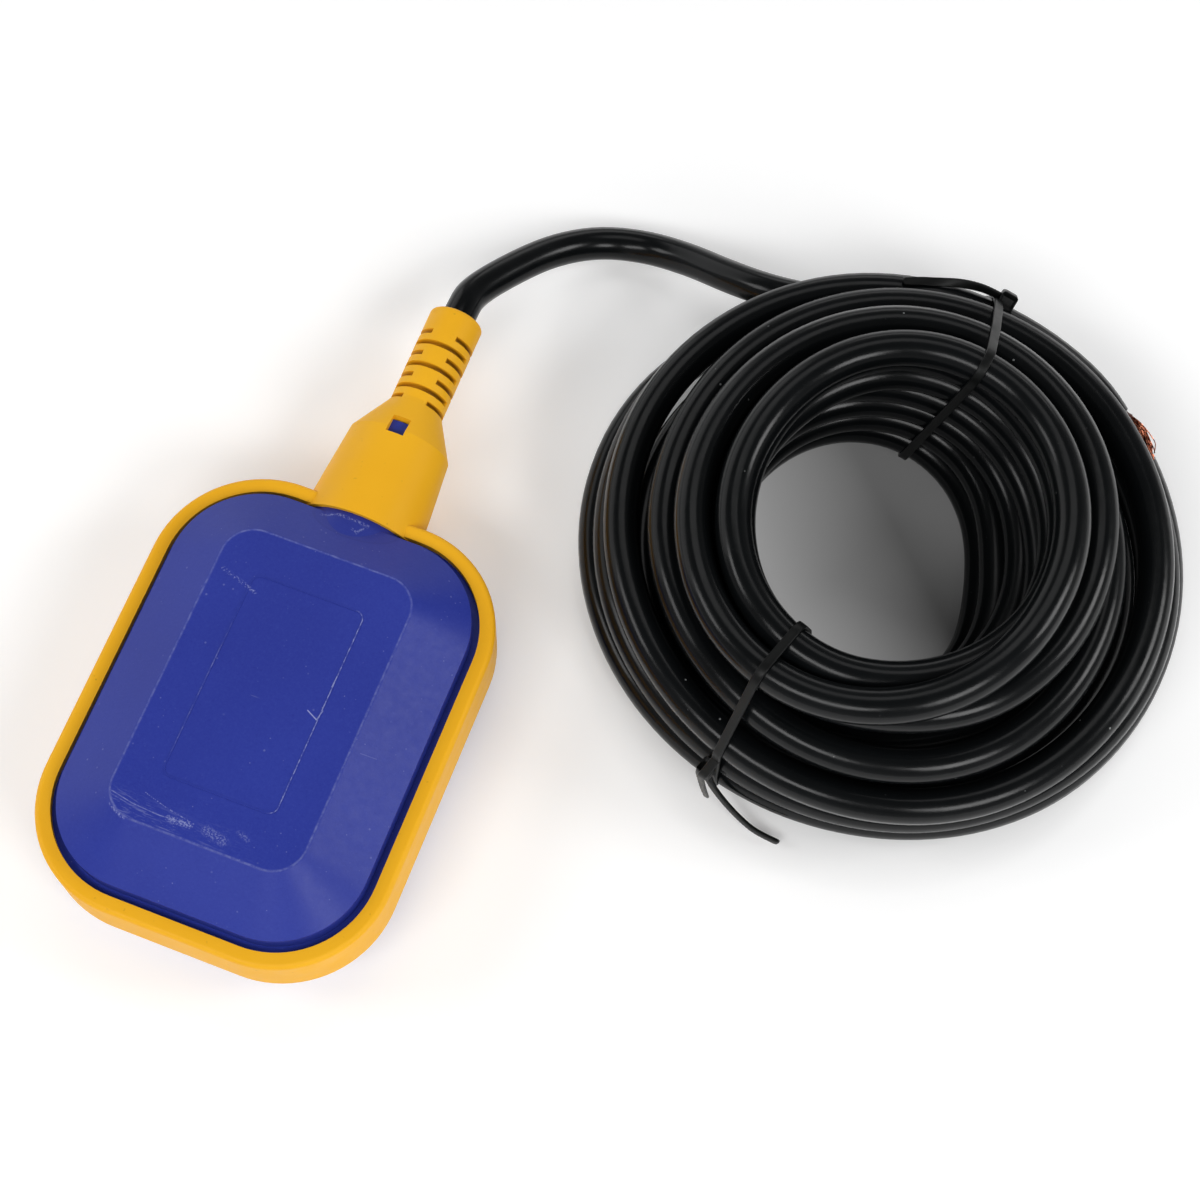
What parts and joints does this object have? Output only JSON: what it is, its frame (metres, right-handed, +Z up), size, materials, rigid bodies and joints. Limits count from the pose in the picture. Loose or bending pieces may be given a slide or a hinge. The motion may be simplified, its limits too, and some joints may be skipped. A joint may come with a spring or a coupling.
{
  "type": "cable float switch",
  "caption": "Flat rounded hollow float with a rubber rim and ribbed neck, a ball-operated switch inside, and a coiled, tied cable with stripped ends.",
  "frame": {"origin": "bottom centre of the box of the float, on its lower rest face", "axes": "+Y along the neck towards the cable, +Z up out of the face that the float lies on"},
  "size_m": [0.2225, 0.215, 0.0606],
  "materials": {
    "shell_blue": "satin moulded polypropylene",
    "rubber_yellow": "soft moulded thermoplastic rubber",
    "cable_black": "semi-gloss sheath",
    "tie_black": "nylon",
    "core_brown": "insulation",
    "core_blue": "insulation",
    "core_black": "insulation",
    "copper": "bare copper strands",
    "steel": "plain",
    "ball_steel": "polished bearing ball",
    "contact_brass": "plain",
    "carrier_white": "moulded",
    "switch_black": "moulded",
    "lever_acetal": "acetal"
  },
  "bodies": {
    "float": {"upper_shell": "shell_blue", "lower_shell": "shell_blue", "overmould": "rubber_yellow", "cable_inner": "cable_black", "cable_grommet": "cable_black", "cable_clamp": "carrier_white", "clamp_screws": "steel", "switch_carrier": "carrier_white", "carrier_lid": "carrier_white", "carrier_screws": "steel", "lever_pin": "steel", "switch_base": "switch_black", "switch_cover": "switch_black", "terminal_common": "contact_brass", "terminal_no": "contact_brass", "terminal_nc": "contact_brass", "snap_blade": "contact_brass", "core_brown": "core_brown", "core_blue": "core_blue", "core_black": "core_black", "cable_sheath": "cable_black", "cable_coil": "cable_black", "coil_tie_front": "tie_black", "coil_tie_rear": "tie_black", "core_ends": "core_brown", "copper_strands": "copper"},
    "ball": {"steel_ball": "ball_steel"},
    "lever": {"trip_lever": "lever_acetal"},
    "plunger": {"switch_plunger": "lever_acetal"}
  },
  "joints": [
    {"name": "ball_roll", "type": "slide", "parent": "float", "child": "ball", "axis": [0, 1, 0], "range_m": [0, 0.0256]},
    {"name": "lever_pivot", "type": "hinge", "parent": "float", "child": "lever", "pos_m": [0, -0.01917, 0.0251], "axis": [1, 0, 0], "range_deg": [0, 7], "stiffness_Nm_per_rad": 0.02},
    {"name": "plunger_travel", "type": "slide", "parent": "float", "child": "plunger", "axis": [0, 1, 0], "range_m": [0, 0.00078]}
  ],
  "couplings": [
    {"joint": "lever_pivot", "follows": "plunger_travel", "rad_per_m": 155.04}
  ]
}
